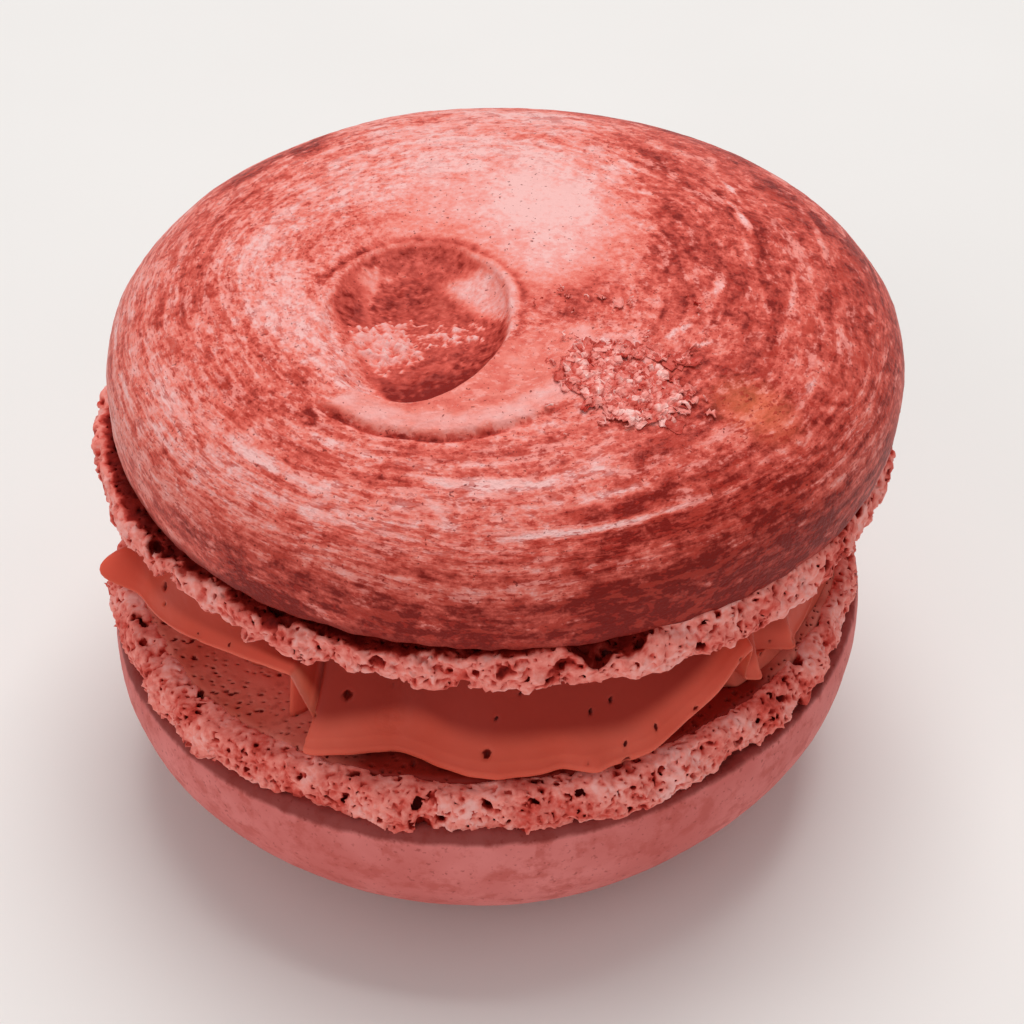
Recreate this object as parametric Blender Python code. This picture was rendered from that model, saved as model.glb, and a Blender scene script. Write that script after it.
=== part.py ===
"""A French macaron at its real size: two baked almond shells with a piped filling between them.

Metres, +Z up. The origin is under the middle of the biscuit, on the surface that it rests on.
The lower shell lies upside down on a small flat spot of its crown, the filling lies on the
lower shell's flat face, and the upper shell lies on the filling, crown up.
"""

import math

import bmesh
import bpy

MM = 0.001

# Driving dimensions of the upper shell: its smooth skin, and the frothy foot under the skin.
UPPER_RADIUS = 21.0 * MM
CROWN_Z = 33.1 * MM
UPPER_EQUATOR_Z = 25.6 * MM
UPPER_SKIN_EDGE_Z = 23.0 * MM
UPPER_FACE_Z = 20.3 * MM
UPPER_SLOPE = (0.0205, -0.0125)

# Driving dimensions of the lower shell, which sits a little to the left and to the front.
LOWER_RADIUS = 20.8 * MM
LOWER_SHIFT = (-0.85 * MM, -1.05 * MM)
LOWER_FACE_Z = 14.2 * MM
LOWER_SKIN_EDGE_Z = 11.5 * MM
LOWER_EQUATOR_Z = 10.1 * MM
LOWER_SLOPE = (0.037, 0.0)
REST_RADIUS = 6.5 * MM

# The skin's rounded profile: a superellipse, fuller at the shoulder than a circle.
UPPER_FULLNESS = (2.68, 2.04)
LOWER_FULLNESS = (3.0, 2.05)

# The foot: how far it stands in or out of the skin's edge, and how uneven it is.
FOOT_BULGE = 0.15 * MM
FOOT_RUFFLE = 0.42 * MM
CRACK_DEPTH = 1.1 * MM

# The hollow that the piping tip left beside the crown, with the lip that curls round it.
HOLLOW_CENTRE = (-4.0 * MM, -6.65 * MM)
HOLLOW_HALF = (5.1 * MM, 6.2 * MM)
HOLLOW_DEPTH = 1.5 * MM
LIP_HEIGHT = 0.5 * MM
LIP_FACING = math.radians(-65)

# The filling: a piped disc that bulges out in lobes between the two shells.
GAP = 0.3 * MM
FILLING_BACK_RADIUS = 19.2 * MM
FILLING_CORE_RADIUS = 16.2 * MM
FRONT_LOBE_RADIUS = 20.8 * MM
FRONT_LOBE_SPAN = (-118.5, -46.0)
LEFT_SLAB_RADIUS = 21.4 * MM
LEFT_SLAB_SPAN = (-166.0, -119.0)
SPIKE_ANGLE = -155.0
SPIKE_LENGTH = 1.5 * MM

SHELL_SEGMENTS = 80
FILLING_SEGMENTS = 120


def clear_scene():
    """Remove what the file holds, so that only the macaron is in it."""
    for existing in list(bpy.data.objects):
        bpy.data.objects.remove(existing, do_unlink=True)


def smooth_step(value):
    """Rise from 0 to 1 as the value does, level at both ends."""
    value = min(max(value, 0.0), 1.0)
    return value * value * (3 - 2 * value)


def window(angle, start, end, soft_start, soft_end):
    """Return 1 between two angles in degrees and 0 outside them, with softened ends."""
    rise = smooth_step((angle - start) / soft_start + 0.5)
    fall = smooth_step((end - angle) / soft_end + 0.5)
    return rise * fall


def bump(angle, centre, width):
    """Return a rounded peak of 1 at an angle in degrees."""
    away = (angle - centre + 180) % 360 - 180
    return math.exp(-((away / width) ** 2))


def ruffle(angle, level):
    """Return the foot's unevenness, about -1 to 1, at an angle and at a level from 0 to 1."""
    slow = math.sin(5 * angle + 2.1 * level) + 0.8 * math.sin(8 * angle - 1.7 * level + 1)
    quick = math.sin(13 * angle + 5.0 * level + 2) + 0.9 * math.sin(19 * angle - 7.0 * level)
    return 0.25 * slow + 0.35 * quick


def plane_height(x, y, height, slope):
    """Return the height of a slightly sloping plane."""
    return height + slope[0] * x + slope[1] * y


def circle_of(count, radius_at, height_at, shift=(0.0, 0.0)):
    """Return one ring of points, with its radius by angle and its height by place."""
    ring = []
    for index in range(count):
        angle = 2 * math.pi * index / count
        radius = radius_at(angle)
        x = radius * math.cos(angle)
        y = radius * math.sin(angle)
        ring.append((x + shift[0], y + shift[1], height_at(x, y)))
    return ring


def dome_profile(radius, height, fullness, count):
    """Return (radius, height) pairs down a dome from its crown, evenly spaced along it."""
    fine = []
    for step in range(401):
        turn = 0.5 * math.pi * step / 400
        out = radius * math.sin(turn) ** (2 / fullness[0])
        rise = height * max(math.cos(turn), 0.0) ** (2 / fullness[1])
        fine.append((out, rise))
    travelled = [0.0]
    for before, after in zip(fine, fine[1:]):
        travelled.append(travelled[-1] + math.dist(before, after))
    profile = []
    for step in range(1, count + 1):
        goal = travelled[-1] * step / count
        index = next(i for i, length in enumerate(travelled) if length >= goal - 1e-12)
        profile.append(fine[index])
    return profile


def hollow_relief(x, y):
    """Return how far the piping hollow and its lip lower or raise the crown at a place."""
    across = (x - HOLLOW_CENTRE[0]) / HOLLOW_HALF[0]
    along = (y - HOLLOW_CENTRE[1]) / HOLLOW_HALF[1]
    reach = math.hypot(across, along)
    facing = math.cos(math.atan2(along, across) - LIP_FACING)
    if reach < 1:
        steepness = 3.6 + 1.8 * facing
        return -HOLLOW_DEPTH * (1 - reach ** steepness)
    lip = math.sin(math.pi * min((reach - 1) / 0.5, 1.0))
    return LIP_HEIGHT * lip * max(facing, 0.0)


def solid_from_rings(name, rings, colour, roughness):
    """Join rings of points, top to bottom, into one closed solid with its own material."""
    shape = bmesh.new()
    rows = [[shape.verts.new(point) for point in ring] for ring in rings]
    for upper, lower in zip(rows, rows[1:]):
        for index in range(max(len(upper), len(lower))):
            corners = [
                upper[index % len(upper)],
                lower[index % len(lower)],
                lower[(index + 1) % len(lower)],
                upper[(index + 1) % len(upper)],
            ]
            shape.faces.new(list(dict.fromkeys(corners)))
    for end in (rows[0], rows[-1]):
        if len(end) > 1:
            shape.faces.new(end)
    bmesh.ops.recalc_face_normals(shape, faces=shape.faces)
    mesh = bpy.data.meshes.new(name)
    shape.to_mesh(mesh)
    shape.free()
    mesh.shade_smooth()
    mesh.set_sharp_from_angle(angle=math.radians(50))
    mesh.materials.append(plain_material(name, colour, roughness))
    piece = bpy.data.objects.new(name, mesh)
    bpy.context.scene.collection.objects.link(piece)
    return piece


def plain_material(name, colour, roughness):
    """Return a Principled material of one colour."""
    material = bpy.data.materials.new(name + "_finish")
    material.use_nodes = True
    surface = material.node_tree.nodes["Principled BSDF"]
    surface.inputs["Base Color"].default_value = (*colour, 1.0)
    surface.inputs["Roughness"].default_value = roughness
    surface.inputs["Metallic"].default_value = 0.0
    return material


def foot_rings(edge_radius, edge_z, face_z, height_of, shift):
    """Return the rings of a frothy foot, from the crack at the skin's edge to the flat face."""
    levels = (0.06, 0.24, 0.5, 0.78, 1.0)
    stand_out = (-0.5 * MM, 0.0, FOOT_BULGE, FOOT_BULGE, -0.35 * MM)
    rings = []
    for level, out in zip(levels, stand_out):
        height = edge_z + (face_z - edge_z) * level

        def radius_at(angle, level=level, out=out):
            return edge_radius + out + FOOT_RUFFLE * ruffle(angle, level)

        rings.append(circle_of(SHELL_SEGMENTS, radius_at, height_of(height), shift))
    return rings


def build_upper_shell():
    """The upper shell: a smooth crown with a piping hollow, a tucked edge and a frothy foot."""

    def height_of(height):
        return lambda x, y: plane_height(x, y, height, UPPER_SLOPE) + hollow_relief(x, y)

    def sloping(height):
        return lambda x, y: plane_height(x, y, height, UPPER_SLOPE)

    rings = [[(0.0, 0.0, height_of(CROWN_Z)(0.0, 0.0))]]
    for radius, rise in dome_profile(UPPER_RADIUS, CROWN_Z - UPPER_EQUATOR_Z, UPPER_FULLNESS, 22):
        rings.append(circle_of(SHELL_SEGMENTS, lambda angle: radius, height_of(UPPER_EQUATOR_Z + rise)))
    tuck = UPPER_EQUATOR_Z - UPPER_SKIN_EDGE_Z
    for turn in (35, 65, 90):
        radius = UPPER_RADIUS - 0.25 * MM * (1 - math.cos(math.radians(turn)))
        height = UPPER_EQUATOR_Z - tuck * math.sin(math.radians(turn))
        rings.append(circle_of(SHELL_SEGMENTS, lambda angle: radius, sloping(height)))
    crack_radius = UPPER_RADIUS - CRACK_DEPTH
    rings.append(circle_of(SHELL_SEGMENTS, lambda angle: crack_radius, sloping(UPPER_SKIN_EDGE_Z)))
    rings += foot_rings(UPPER_RADIUS, UPPER_SKIN_EDGE_Z, UPPER_FACE_Z, sloping, (0.0, 0.0))
    rings.append([(0.0, 0.0, UPPER_FACE_Z)])
    return solid_from_rings("upper_shell", rings, (0.672, 0.188, 0.156), 0.55)


def build_lower_shell():
    """The lower shell: the same biscuit upside down, resting on a flat spot of its crown."""

    def sloping(height):
        share = min(height / LOWER_EQUATOR_Z, 1.0)
        slope = (LOWER_SLOPE[0] * share, LOWER_SLOPE[1] * share)
        return lambda x, y: plane_height(x, y, height, slope)

    rings = [[(*LOWER_SHIFT, LOWER_FACE_Z)]]
    foot_edge = LOWER_RADIUS - 0.3 * MM
    foot = foot_rings(foot_edge, LOWER_SKIN_EDGE_Z, LOWER_FACE_Z, sloping, LOWER_SHIFT)
    rings += reversed(foot)
    crack_radius = LOWER_RADIUS - CRACK_DEPTH
    rings.append(
        circle_of(SHELL_SEGMENTS, lambda angle: crack_radius, sloping(LOWER_SKIN_EDGE_Z), LOWER_SHIFT)
    )
    tuck = LOWER_SKIN_EDGE_Z - LOWER_EQUATOR_Z
    for turn in (90, 45):
        radius = LOWER_RADIUS - 0.2 * MM * (1 - math.cos(math.radians(turn)))
        height = LOWER_EQUATOR_Z + tuck * math.sin(math.radians(turn))
        rings.append(circle_of(SHELL_SEGMENTS, lambda angle: radius, sloping(height), LOWER_SHIFT))
    profile = dome_profile(LOWER_RADIUS, LOWER_EQUATOR_Z, LOWER_FULLNESS, 13)
    for radius, drop in reversed(profile):
        if radius > REST_RADIUS + 1.5 * MM:
            height = LOWER_EQUATOR_Z - drop
            rings.append(
                circle_of(SHELL_SEGMENTS, lambda angle: radius, sloping(height), LOWER_SHIFT)
            )
    rings.append(circle_of(SHELL_SEGMENTS, lambda angle: REST_RADIUS, sloping(0.0), LOWER_SHIFT))
    return solid_from_rings("lower_shell", rings, (0.552, 0.162, 0.15), 0.6)


def brim_radius(angle):
    """Return how far the filling's overhanging brim reaches at an angle in degrees."""
    turn = math.radians(angle)
    back = FILLING_BACK_RADIUS + 0.6 * MM * math.cos(3 * turn + 0.4) + 0.3 * MM * math.cos(8 * turn)
    back += 0.9 * MM * bump(angle, -41, 3.0) + 1.3 * MM * bump(angle, -31, 4.0)
    front = FRONT_LOBE_RADIUS - 1.0 * MM * bump(angle, -108, 7) - 0.4 * MM * bump(angle, -82, 4)
    front -= 0.9 * MM * smooth_step((angle + 72) / 30)
    left = LEFT_SLAB_RADIUS + SPIKE_LENGTH * bump(angle, SPIKE_ANGLE, 4)
    in_front = window(angle, *FRONT_LOBE_SPAN, 2.5, 4.0)
    in_left = window(angle, *LEFT_SLAB_SPAN, 12.0, 2.5)
    return back * (1 - in_front - in_left) + front * in_front + left * in_left


def core_radius(angle):
    """Return the radius of the filling under its brim at an angle in degrees."""
    in_front = window(angle, *FRONT_LOBE_SPAN, 4.0, 6.0)
    in_left = window(angle, *LEFT_SLAB_SPAN, 12.0, 4.0)
    shore = 2.6 * MM * bump(angle, -125, 3.5)
    return FILLING_CORE_RADIUS + 1.6 * MM * in_front + 2.2 * MM * (1 - in_front - in_left) + shore


def brim_level(angle):
    """Return where the brim's lower edge lies, from 0 at the lower shell to 1 at the upper."""
    in_front = window(angle, *FRONT_LOBE_SPAN, 2.5, 4.0)
    in_left = window(angle, *LEFT_SLAB_SPAN, 12.0, 2.5)
    front = 0.07 + 0.6 * smooth_step((angle + 72) / 28)
    return 0.18 * (1 - in_front - in_left) + front * in_front + 0.55 * in_left


def build_filling():
    """The filling: smooth ganache, pressed out in lobes and overhanging edges between the shells."""

    def lower_face(x, y):
        return plane_height(x - LOWER_SHIFT[0], y - LOWER_SHIFT[1], LOWER_FACE_Z + GAP, LOWER_SLOPE)

    def upper_face(x, y):
        return plane_height(x, y, UPPER_FACE_Z - GAP, UPPER_SLOPE)

    def ring_of(radius_at, level_at):
        ring = []
        for index in range(FILLING_SEGMENTS):
            angle = 360 * index / FILLING_SEGMENTS - 180
            x = radius_at(angle) * math.cos(math.radians(angle))
            y = radius_at(angle) * math.sin(math.radians(angle))
            depth = upper_face(x, y) - lower_face(x, y)
            ring.append((x, y, lower_face(x, y) + depth * level_at(angle)))
        return ring

    rings = [[(0.0, 0.0, upper_face(0.0, 0.0))]]
    for rise, drawn_in in ((1.0, 1.6), (0.72, 1.1), (0.42, 0.7), (0.12, 0.15), (0.0, 0.1)):
        rings.append(
            ring_of(
                lambda angle: brim_radius(angle) - drawn_in * MM,
                lambda angle: brim_level(angle) + (1 - brim_level(angle)) * rise,
            )
        )
    for share, out in ((0.96, 0.3), (0.5, 0.0), (0.0, 0.2)):
        rings.append(
            ring_of(
                lambda angle: core_radius(angle) + out * MM,
                lambda angle: brim_level(angle) * share,
            )
        )
    rings.append([(0.0, 0.0, lower_face(0.0, 0.0))])
    return solid_from_rings("filling", rings, (0.491, 0.098, 0.065), 0.4)


def centre_over_origin(pieces):
    """Move the pieces together so that the origin is under the middle of their box."""
    for axis in (0, 1):
        places = [vertex.co[axis] for piece in pieces for vertex in piece.data.vertices]
        middle = 0.5 * (min(places) + max(places))
        for piece in pieces:
            for vertex in piece.data.vertices:
                vertex.co[axis] -= middle


clear_scene()
centre_over_origin([build_lower_shell(), build_filling(), build_upper_shell()])
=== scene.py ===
import math

import bmesh
import bpy
import numpy as np
from mathutils import Euler, Matrix, Vector


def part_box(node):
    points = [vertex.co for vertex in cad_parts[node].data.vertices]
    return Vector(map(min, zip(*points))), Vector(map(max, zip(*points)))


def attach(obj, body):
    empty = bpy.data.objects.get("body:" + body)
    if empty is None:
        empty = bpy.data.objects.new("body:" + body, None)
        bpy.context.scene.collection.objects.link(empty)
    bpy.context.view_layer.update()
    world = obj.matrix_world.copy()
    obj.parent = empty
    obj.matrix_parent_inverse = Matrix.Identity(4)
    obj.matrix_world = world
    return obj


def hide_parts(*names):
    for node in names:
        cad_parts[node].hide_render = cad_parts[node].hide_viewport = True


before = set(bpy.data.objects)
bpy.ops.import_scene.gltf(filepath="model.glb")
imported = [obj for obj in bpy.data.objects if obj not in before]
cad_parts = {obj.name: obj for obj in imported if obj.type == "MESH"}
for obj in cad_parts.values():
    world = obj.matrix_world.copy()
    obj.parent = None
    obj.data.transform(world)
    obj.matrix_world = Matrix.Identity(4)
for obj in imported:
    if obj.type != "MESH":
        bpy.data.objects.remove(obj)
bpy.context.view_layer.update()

# ------------------------------------------------------------
# The table, the light and the camera.
# A french macaron alone on a pale table, under wide soft lamps, seen from well above its edge.

MM = 0.001

upper_low, upper_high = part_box("upper_shell")
UPPER_CENTRE = ((upper_low + upper_high) / 2 / MM).to_2d()
HEIGHT = upper_high.z / MM


class Flow:
    """One output of a node. Numbers made from it with + - * / become Math nodes."""

    def __init__(self, board, socket):
        self.board = board
        self.socket = socket

    def also(self, output):
        """Another output of the same node."""
        return Flow(self.board, self.socket.node.outputs[output])

    def math(self, operation, *others):
        sockets = dict(enumerate((self, *others)))
        return self.board.node("ShaderNodeMath", {"operation": operation}, sockets)

    def __add__(self, other):
        return self.math("ADD", other)

    def __sub__(self, other):
        return self.math("SUBTRACT", other)

    def __mul__(self, other):
        return self.math("MULTIPLY", other)

    def __truediv__(self, other):
        return self.math("DIVIDE", other)

    def __rsub__(self, other):
        return (self * -1.0).math("ADD", other)

    def __rtruediv__(self, other):
        return self.math("POWER", -1.0) * other

    __radd__ = __add__
    __rmul__ = __mul__

    def rise(self, start, end):
        """0 before start, 1 after end, smooth between."""
        settings = {"interpolation_type": "SMOOTHSTEP"}
        return self.board.node("ShaderNodeMapRange", settings, {0: self, 1: start, 2: end})

    def peak(self, centre, width):
        """1 at centre, falling to 0 at a width to each side."""
        return 1 - ((self - centre) / width).math("ABSOLUTE").rise(0.0, 1.0)


class Board:
    """A node tree, laid out by code."""

    def __init__(self, tree):
        self.tree = tree

    def node(self, kind, settings=None, sockets=None, output=0):
        made = self.tree.nodes.new(kind)
        for name, value in (settings or {}).items():
            if name == "stops":
                while len(made.color_ramp.elements) < len(value):
                    made.color_ramp.elements.new(1.0)
                for element, (place, colour) in zip(made.color_ramp.elements, value):
                    element.position = place
                    element.color = colour
            else:
                setattr(made, name, value)
        for name, value in (sockets or {}).items():
            if isinstance(value, Flow):
                self.tree.links.new(value.socket, made.inputs[name])
            else:
                made.inputs[name].default_value = value
        return Flow(self, made.outputs[output])

    def xyz(self, x, y, z):
        return self.node("ShaderNodeCombineXYZ", {}, {0: x, 1: y, 2: z})

    def split(self, vector):
        parts = self.node("ShaderNodeSeparateXYZ", {}, {0: vector})
        return parts, parts.also(1), parts.also(2)

    def scaled(self, vector, amount):
        sockets = {0: vector, "Scale": amount}
        return self.node("ShaderNodeVectorMath", {"operation": "SCALE"}, sockets)

    def added(self, first, second):
        return self.node("ShaderNodeVectorMath", {"operation": "ADD"}, {0: first, 1: second})

    def place(self):
        """The place on the piece, in metres."""
        return self.node("ShaderNodeTexCoord", {}, {}, "Object")

    def noise(self, vector, scale, detail=2.0, roughness=0.5, output=0):
        sockets = {"Vector": vector, "Scale": scale, "Detail": detail, "Roughness": roughness}
        return self.node("ShaderNodeTexNoise", {}, sockets, output)

    def cells(self, vector, scale, space="3D"):
        sockets = {"Vector": vector, "Scale": scale}
        return self.node("ShaderNodeTexVoronoi", {"voronoi_dimensions": space}, sockets)

    def marked(self, mesh, name, value, domain="POINT"):
        """A mesh with a number written on each of its points, under a name."""
        settings = {"data_type": "FLOAT", "domain": domain}
        sockets = {"Geometry": mesh, "Name": name, "Value": value}
        return self.node("GeometryNodeStoreNamedAttribute", settings, sockets)

    def mark(self, name):
        """The number written on a mesh under a name."""
        return self.node("ShaderNodeAttribute", {"attribute_name": name}, {}, "Fac")

    def ramp(self, amount, stops):
        """A colour from a row of (place, colour) stops."""
        return self.node("ShaderNodeValToRGB", {"stops": stops}, {0: amount})

    def blend(self, amount, first, second):
        """A colour between two others."""
        settings = {"data_type": "RGBA"}
        return self.node("ShaderNodeMix", settings, {0: amount, 6: first, 7: second}, 2)


def finish_board(name, roughness, soft=0.0, soft_reach=0.001, shine=0.10):
    """A Principled material ready for its nodes: returns it, its board and its shader."""
    material = bpy.data.materials.new(name)
    material.use_nodes = True
    shader = material.node_tree.nodes["Principled BSDF"]
    shader.inputs["Roughness"].default_value = roughness
    shader.inputs["Specular IOR Level"].default_value = shine
    shader.inputs["Subsurface Weight"].default_value = soft
    shader.inputs["Subsurface Radius"].default_value = (1.0, 0.35, 0.25)
    shader.inputs["Subsurface Scale"].default_value = soft_reach
    return material, Board(material.node_tree), shader


def connect(board, shader, **flows):
    """Plug flows into a shader's sockets, with underscores for the spaces in their names."""
    for name, flow in flows.items():
        board.tree.links.new(flow.socket, shader.inputs[name.replace("_", " ")])


def relief(board, height, depth, strength=1.0):
    """A Bump node from a height that runs from 0 to 1, over a depth in millimetres."""
    sockets = {"Height": height, "Strength": strength, "Distance": depth * MM}
    return board.node("ShaderNodeBump", {}, sockets)


floor_mesh = bpy.data.meshes.new("table")
floor_shape = bmesh.new()
bmesh.ops.create_grid(floor_shape, x_segments=1, y_segments=1, size=1.5)
floor_shape.to_mesh(floor_mesh)
floor_shape.free()
floor = bpy.data.objects.new("table", floor_mesh)
bpy.context.scene.collection.objects.link(floor)
floor_paint, floor_board, floor_shader = finish_board("pale_table", 0.7)
floor_grain = floor_board.noise(floor_board.place(), 40.0, 3.0)
floor_colour = floor_board.blend(floor_grain, (0.80, 0.79, 0.78, 1), (0.84, 0.83, 0.82, 1))
connect(floor_board, floor_shader, Base_Color=floor_colour)
floor_mesh.materials.append(floor_paint)

world = bpy.data.worlds.new("room")
world.use_nodes = True
world.node_tree.nodes["Background"].inputs["Color"].default_value = (1.0, 0.985, 0.975, 1)
world.node_tree.nodes["Background"].inputs["Strength"].default_value = 0.45
bpy.context.scene.world = world
bpy.context.scene.view_settings.view_transform = "Standard"


def lamp(name, place, aim, size, watts, colour):
    """A square soft lamp that shines from a place towards a point."""
    light = bpy.data.lights.new(name, "AREA")
    light.size = size
    light.energy = watts
    light.color = colour
    holder = bpy.data.objects.new(name, light)
    holder.location = place
    holder.rotation_euler = (Vector(aim) - Vector(place)).to_track_quat("-Z", "Y").to_euler()
    bpy.context.scene.collection.objects.link(holder)


MIDDLE = (0.0, 0.0, 0.5 * HEIGHT * MM)
lamp("window_lamp", (0.02, 0.10, 0.42), MIDDLE, 0.24, 1.16, (1.0, 0.98, 0.96))
lamp("front_lamp", (-0.22, -0.30, 0.22), MIDDLE, 0.30, 0.27, (1.0, 0.98, 0.97))

CAMERA_DISTANCE = 136.5
CAMERA_RAISE = math.radians(41)
CAMERA_AIM_RAISE = math.radians(39.7)
CAMERA_ROLL = math.radians(0.36)
LOOK_HEIGHT = 10.5

lens = bpy.data.cameras.new("camera")
lens.lens = 83.9
lens.sensor_width = 36.0
lens.clip_start = 0.01
camera = bpy.data.objects.new("camera", lens)
camera.location = (
    UPPER_CENTRE.x * MM,
    (UPPER_CENTRE.y - CAMERA_DISTANCE * math.cos(CAMERA_RAISE)) * MM,
    (LOOK_HEIGHT + CAMERA_DISTANCE * math.sin(CAMERA_RAISE)) * MM,
)
aim_right = math.radians(0.24)
turn = Euler((math.pi / 2 - CAMERA_AIM_RAISE, 0.0, -aim_right)).to_matrix()
camera.rotation_euler = (turn @ Matrix.Rotation(CAMERA_ROLL, 3, "Z")).to_euler()
bpy.context.scene.collection.objects.link(camera)
bpy.context.scene.camera = camera

# ------------------------------------------------------------
# The lower shell's skin.
# Almond meringue, baked to a thin smooth crust. It lies upside down, so its crown is underneath,
# pressed a little flat where it rests, and its edge stands up to the crack under the foot.

lower_low, lower_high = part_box("lower_shell")
LOWER_CENTRE = ((lower_low + lower_high) / 2 / MM).to_2d()
LOWER_RADIUS = (lower_high.x - lower_low.x) / 2 / MM - 0.05
LOWER_SLOPE = 0.037
LOWER_FACE = lower_high.z / MM - LOWER_SLOPE * LOWER_RADIUS
LOWER_SKIN_EDGE = LOWER_FACE - 2.7
LOWER_EQUATOR = LOWER_FACE - 4.1
REST_RADIUS = 6.5
# Width in mm of the band of painted shade under the foot.
FOOT_SHADE_BAND = 0.35


def dome_profile(radius, height, fullness, count):
    """(radius, height) pairs down a dome from its crown, evenly spaced along its curve."""
    turns = np.linspace(0, math.pi / 2, 2001)
    outs = radius * np.sin(turns) ** (2 / fullness[0])
    rises = height * np.maximum(np.cos(turns), 0) ** (2 / fullness[1])
    travelled = np.concatenate([[0], np.cumsum(np.hypot(np.diff(outs), np.diff(rises)))])
    goals = np.linspace(0, travelled[-1], count + 1)[1:]
    return list(zip(np.interp(goals, travelled, outs), np.interp(goals, travelled, rises)))


def arc_profile(centre, radii, start, end, count):
    """(radius, height) pairs along part of an ellipse, from one angle in degrees to another."""
    pairs = []
    for step in range(count):
        angle = math.radians(start + (end - start) * step / (count - 1))
        out = centre[0] + radii[0] * math.cos(angle)
        pairs.append((out, centre[1] + radii[1] * math.sin(angle)))
    return pairs


def empty_piece(name):
    """A new mesh object with nothing in it yet."""
    piece = bpy.data.objects.new(name, bpy.data.meshes.new(name))
    bpy.context.scene.collection.objects.link(piece)
    return piece


def ringed(name, bottom, rings, top):
    """A closed mesh in mm: a bottom point, rings of points one after another, and a top point."""
    count = len(rings[0])
    places = np.concatenate([[bottom], *rings, [top]]) * MM
    last = len(places) - 1
    faces = []
    for index in range(count):
        beside = (index + 1) % count
        faces.append((0, 1 + beside, 1 + index))
        for low in range(1, last - count, count):
            faces.append((low + index, low + beside, low + count + beside, low + count + index))
        faces.append((last - count + index, last - count + beside, last))
    piece = empty_piece(name)
    piece.data.from_pydata(places.tolist(), [], faces)
    return piece


def turned(name, profile, count, centre):
    """A closed mesh turned round a centre, from (radius, height) pairs in mm, bottom pole first."""
    angles = np.linspace(0, 2 * math.pi, count, endpoint=False)
    ring = np.stack([np.cos(angles), np.sin(angles), np.zeros(count)], axis=1)
    rows = [ring * radius + (*centre, height) for radius, height in profile]
    return ringed(name, rows[0][0], rows[1:-1], rows[-1][0])


def growth(name, **numbers):
    """A Geometry Nodes tree with named number inputs: returns the tree, its board and its flows."""
    tree = bpy.data.node_groups.new(name, "GeometryNodeTree")
    tree.interface.new_socket("Geometry", in_out="INPUT", socket_type="NodeSocketGeometry")
    for label, value in numbers.items():
        socket = tree.interface.new_socket(label, in_out="INPUT", socket_type="NodeSocketFloat")
        socket.default_value = value
    tree.interface.new_socket("Geometry", in_out="OUTPUT", socket_type="NodeSocketGeometry")
    board = Board(tree)
    entry = tree.nodes.new("NodeGroupInput")
    flows = [Flow(board, socket) for socket in entry.outputs if socket.name]
    return tree, board, flows


def grow(piece, tree, board, result, numbers, material):
    """Close a tree, run it on a piece with its inputs set, and keep what it makes as a mesh."""
    result = board.node("GeometryNodeRealizeInstances", {}, {0: result})
    result = board.node("GeometryNodeSetMaterial", {}, {"Geometry": result, "Material": material})
    tree.links.new(result.socket, tree.nodes.new("NodeGroupOutput").inputs[0])
    modifier = piece.modifiers.new(tree.name, "NODES")
    modifier.node_group = tree
    for item in tree.interface.items_tree:
        if item.in_out == "INPUT" and item.name in numbers:
            modifier[item.identifier] = float(numbers[item.name])
    evaluated = piece.evaluated_get(bpy.context.evaluated_depsgraph_get())
    made = bpy.data.meshes.new_from_object(evaluated)
    piece.modifiers.remove(modifier)
    old = piece.data
    piece.data = made
    bpy.data.meshes.remove(old)
    made.shade_smooth()
    return piece


def place_in_mm(board, centre, place=None):
    """A place on a piece in millimetres, from a shell's middle, and its radius from there."""
    in_mm = board.scaled(place or board.node("GeometryNodeInputPosition"), 1 / MM)
    x, y, z = board.split(in_mm)
    x = x - centre[0]
    y = y - centre[1]
    radius = (x * x + y * y).math("SQRT")
    return in_mm, x, y, z, radius


def push(board, geometry, along_normal, upwards):
    """Move a mesh along its normals and upwards, by flows in millimetres."""
    normal = board.node("GeometryNodeInputNormal")
    out = board.scaled(normal, along_normal * MM)
    offset = board.added(out, board.xyz(0.0, 0.0, upwards * MM))
    return board.node("GeometryNodeSetPosition", {}, {"Geometry": geometry, "Offset": offset})


def side(x, y, degrees, spread):
    """1 where a place lies the way of an angle from the middle, 0 beyond a spread to each side."""
    turn = math.radians(degrees)
    along = (x * math.cos(turn) + y * math.sin(turn)) / (x * x + y * y + 0.01).math("SQRT")
    return along.rise(math.cos(math.radians(spread)), 1.0)


def put_on(piece, node):
    """Fix a finished piece to the macaron in place of its plain solid."""
    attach(piece, "root")
    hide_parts(node)


lower_profile = [(0.0, 0.0)] + [(REST_RADIUS * step / 6, 0.0) for step in range(1, 7)]
lower_dome = dome_profile(LOWER_RADIUS, LOWER_EQUATOR, (3.0, 2.05), 84)
curved = [pair for pair in lower_dome if pair[0] > REST_RADIUS + 0.8]
lower_profile += [(out, LOWER_EQUATOR - drop) for out, drop in curved]
tuck = LOWER_SKIN_EDGE - LOWER_EQUATOR
lower_profile += arc_profile((LOWER_RADIUS - 0.3, LOWER_EQUATOR), (0.3, tuck), 8, 90, 14)
for inwards, rise in ((0.5, 0.04), (1.0, -0.05), (1.9, -0.1), (LOWER_RADIUS, -0.1)):
    lower_profile.append((LOWER_RADIUS - inwards, LOWER_SKIN_EDGE + rise))
lower_skin = turned("lower_skin", lower_profile, 720, LOWER_CENTRE)

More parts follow.
